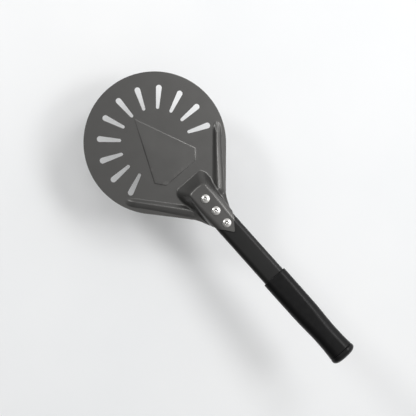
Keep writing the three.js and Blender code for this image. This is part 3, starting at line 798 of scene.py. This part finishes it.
# ---- materials -----------------------------------------------------------------------------
class Finish:
    """A procedural material, built node by node round the Principled shader."""

    def __init__(self, name):
        self.material = bpy.data.materials.new(name)
        self.material.use_nodes = True
        self.tree = self.material.node_tree
        self.shader = self.tree.nodes["Principled BSDF"]
        self.coords = self.tree.nodes.new("ShaderNodeTexCoord").outputs["Object"]

    def set(self, **values):
        for socket, value in values.items():
            self.shader.inputs[socket.replace("_", " ")].default_value = value
        return self

    def node(self, kind, **values):
        made = self.tree.nodes.new(kind)
        for key, value in values.items():
            if key in made.inputs:
                made.inputs[key].default_value = value
            else:
                setattr(made, key, value)
        return made

    def link(self, a, b):
        self.tree.links.new(a, b)

    def noise(self, size_mm, detail):
        """Noise with features of about size_mm."""
        mapping = self.node("ShaderNodeMapping")
        mapping.inputs["Scale"].default_value = [1 / (size_mm * MM)] * 3
        self.link(self.coords, mapping.inputs["Vector"])
        noise = self.node("ShaderNodeTexNoise", Scale=1.0, Detail=detail)
        self.link(mapping.outputs["Vector"], noise.inputs["Vector"])
        return noise.outputs["Fac"]

    def ranged(self, value, low, high, start=0.3, stop=0.7):
        """The value carried from start..stop to low..high."""
        out = self.node("ShaderNodeMapRange")
        for key, number in (("From Min", start), ("From Max", stop), ("To Min", low), ("To Max", high)):
            out.inputs[key].default_value = number
        self.link(value, out.inputs["Value"])
        return out.outputs["Result"]

    def mixed(self, factor, first, second):
        """A colour between first and second, each a socket or a fixed colour."""
        mix = self.node("ShaderNodeMix", data_type="RGBA")
        a, b = [s for s in mix.inputs if s.type == "RGBA"][:2]
        for value, socket in ((first, a), (second, b)):
            if isinstance(value, (tuple, list)):
                socket.default_value = (*value, 1)
            else:
                self.link(value, socket)
        self.link(factor, mix.inputs["Factor"])
        return [s for s in mix.outputs if s.type == "RGBA"][0]

    def colour(self, value):
        self.link(value, self.shader.inputs["Base Color"])

    def roughness(self, value):
        self.link(value, self.shader.inputs["Roughness"])

    def bump(self, height, distance_mm):
        bump = self.node("ShaderNodeBump", Strength=1.0, Distance=distance_mm * MM)
        self.link(height, bump.inputs["Height"])
        self.link(bump.outputs["Normal"], self.shader.inputs["Normal"])

    def edges(self):
        """1 on convex edges, 0 elsewhere."""
        pointed = self.node("ShaderNodeNewGeometry").outputs["Pointiness"]
        return self.ranged(pointed, 0, 1, start=0.52, stop=0.6)


def shaded(colour, factor):
    return tuple(min(1, c * factor) for c in colour)


def anodised(name, colour, roughness, metallic, gloss, grain_mm, grain_depth, wear):
    """Anodised aluminium: slight slow mottling, paler edges and a very fine grain."""
    f = Finish(name).set(Metallic=metallic, Specular_IOR_Level=gloss)
    slow = f.ranged(f.noise(38, 2), 0, 1)
    base = f.mixed(slow, shaded(colour, 0.98), shaded(colour, 1.02))
    base = f.mixed(f.edges(), base, shaded(colour, wear))
    f.colour(base)
    f.roughness(f.ranged(f.noise(14, 4), roughness - 0.02, roughness + 0.02))
    f.bump(f.noise(grain_mm, 4), grain_depth)
    return f.material


def polished_steel(name):
    f = Finish(name).set(Metallic=1.0)
    base = f.mixed(f.ranged(f.noise(2.0, 3), 0, 1), (0.66, 0.65, 0.63), (0.78, 0.77, 0.75))
    f.colour(base)
    f.roughness(f.ranged(f.noise(1.2, 4), 0.1, 0.2))
    f.bump(f.noise(0.5, 3), 0.006)
    return f.material


def plated_steel(name):
    f = Finish(name).set(Metallic=1.0)
    f.colour(f.mixed(f.ranged(f.noise(3, 3), 0, 1), (0.44, 0.45, 0.47), (0.58, 0.58, 0.56)))
    f.roughness(f.ranged(f.noise(1.0, 4), 0.3, 0.45))
    f.bump(f.noise(0.3, 3), 0.01)
    return f.material


def moulded(name, colour, roughness, gloss, grain_mm, grain_depth):
    """Moulded plastic or rubber with a fine texture."""
    f = Finish(name).set(Metallic=0.0, Specular_IOR_Level=gloss)
    f.colour(f.mixed(f.ranged(f.noise(22, 3), 0, 1), shaded(colour, 0.9), shaded(colour, 1.15)))
    f.roughness(f.ranged(f.noise(6, 4), roughness - 0.06, roughness + 0.06))
    f.bump(f.noise(grain_mm, 2), grain_depth)
    return f.material


def pale_wall(name):
    f = Finish(name)
    f.colour(f.mixed(f.ranged(f.noise(260, 3), 0, 1), (0.80, 0.81, 0.82), (0.84, 0.845, 0.85)))
    f.set(Roughness=0.9)
    f.bump(f.noise(9, 3), 0.05)
    return f.material


def dress(piece, material):
    """Give the piece that one material."""
    piece.data.materials.clear()
    piece.data.materials.append(material)


# ---- put the object together ---------------------------------------------------------------
SHEET_METAL = anodised("hard_anodised_sheet", (0.0925, 0.091, 0.0885), roughness=0.34, metallic=0.75,
                       gloss=0.6, grain_mm=0.35, grain_depth=0.003, wear=1.2)
TUBE_METAL = anodised("black_anodised_tube", (0.0053, 0.0053, 0.0051), roughness=0.38, metallic=0.0,
                      gloss=0.30, grain_mm=0.3, grain_depth=0.004, wear=1.25)
STEEL = polished_steel("polished_stainless")
ZINC = plated_steel("zinc_plated_steel")
NYLON = moulded("black_nylon", (0.02, 0.02, 0.02), roughness=0.5, gloss=0.5, grain_mm=0.25, grain_depth=0.01)
GRIP = moulded("soft_touch_grip", (0.002, 0.002, 0.0022), roughness=0.36, gloss=0.19,
               grain_mm=0.28, grain_depth=0.01)
CAP_FINISH = moulded("satin_cap", (0.002, 0.002, 0.0022), roughness=0.33, gloss=0.22,
                     grain_mm=0.3, grain_depth=0.01)


def place(piece, node, material):
    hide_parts(node)
    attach(piece, "root")
    dress(piece, material)


place(make_blade(), "blade", SHEET_METAL)
place(make_tube(), "handle_tube", TUBE_METAL)
place(make_grip(), "grip_sleeve", GRIP)
place(make_cap(), "end_cap", CAP_FINISH)
for number in range(len(RIVET_X)):
    place(make_rivet(number), f"rivet_body_{number + 1}", STEEL)
    place(make_mandrel(number), f"rivet_mandrel_{number + 1}", STEEL)
for name, material in (("tube_front_plug", NYLON), ("grip_core", NYLON), ("grip_core_screw", ZINC)):
    dress(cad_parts[name], material)


# ---- stage ---------------------------------------------------------------------------------
FLOOR_DROP, FLOOR_HALF = 90.0, 4000.0  # from the blade down to the pale floor, and half its width


def make_floor():
    z = FLAT_Z - SHEET - FLOOR_DROP
    corners = [(x * FLOOR_HALF, y * FLOOR_HALF, z) for x, y in ((-1, -1), (1, -1), (1, 1), (-1, 1))]
    floor = new_object("floor", corners, [(0, 1, 2, 3)])
    dress(floor, pale_wall("pale_floor"))


AIM = Vector((104.56, -3.78, 0.0)) * MM  # what the camera's axis meets on the blade's plane
CAMERA_DISTANCE = 1.4096  # metres
TILT_ACROSS, TILT_ALONG, ROLL = math.radians(-3.914), math.radians(5.407), math.radians(-48.55)
LENS, SENSOR = 97.35, 36.0


def make_camera():
    """The camera, nearly square to the blade. Returns its orientation."""
    turn = Matrix.Rotation(-TILT_ALONG, 3, "Y") @ Matrix.Rotation(-TILT_ACROSS, 3, "X")
    turn = turn @ Matrix.Rotation(-ROLL, 3, "Z")
    data = bpy.data.cameras.new("camera")
    data.lens, data.sensor_width = LENS, SENSOR
    data.dof.use_dof = False
    camera = bpy.data.objects.new("camera", data)
    camera.matrix_world = Matrix.Translation(AIM + turn @ Vector((0, 0, CAMERA_DISTANCE))) @ turn.to_4x4()
    bpy.context.scene.collection.objects.link(camera)
    bpy.context.scene.camera = camera
    return turn


def make_light(name, turn, right, up, back, size, power):
    """A soft square panel, in metres right of, above and in front of the object as the camera sees it."""
    data = bpy.data.lights.new(name, "AREA")
    data.shape = "RECTANGLE"
    data.size = data.size_y = size
    data.energy = power
    light = bpy.data.objects.new(name, data)
    offset = turn @ Vector((right, up, back))
    facing = offset.to_track_quat("Z", "Y").to_matrix().to_4x4()
    light.matrix_world = Matrix.Translation(AIM + offset) @ facing
    bpy.context.scene.collection.objects.link(light)


def make_world(turn, strength, lean, right, up, colour):
    """A pale surround, brighter by the share lean towards right and up in the camera's view."""
    world = bpy.data.worlds.new("studio")
    world.use_nodes = True
    nodes, links = world.node_tree.nodes, world.node_tree.links
    direction = nodes.new("ShaderNodeTexCoord")
    towards = nodes.new("ShaderNodeVectorMath")
    towards.operation = "DOT_PRODUCT"
    towards.inputs[1].default_value = turn @ Vector((right, up, 0)).normalized()
    level = nodes.new("ShaderNodeMath")
    level.operation = "MULTIPLY_ADD"
    level.inputs[1].default_value = strength * lean
    level.inputs[2].default_value = strength
    background = nodes["Background"]
    background.inputs["Color"].default_value = (*colour, 1)
    links.new(direction.outputs["Generated"], towards.inputs[0])
    links.new(towards.outputs["Value"], level.inputs[0])
    links.new(level.outputs["Value"], background.inputs["Strength"])
    bpy.context.scene.world = world


make_floor()
view_turn = make_camera()
make_light("key_right", view_turn, right=0.95, up=0.18, back=1.30, size=0.45, power=6.2)
make_light("key_above", view_turn, right=0.66, up=0.70, back=1.30, size=0.45, power=5.2)
make_light("window", view_turn, right=1.45, up=0.90, back=0.80, size=1.4, power=4.5)
make_light("front_left", view_turn, right=-0.75, up=0.70, back=1.10, size=0.3, power=5)
make_world(view_turn, strength=0.57, lean=0.80, right=0.85, up=0.53, colour=(0.99, 0.99, 0.985))
bpy.context.scene.view_settings.view_transform = "Standard"
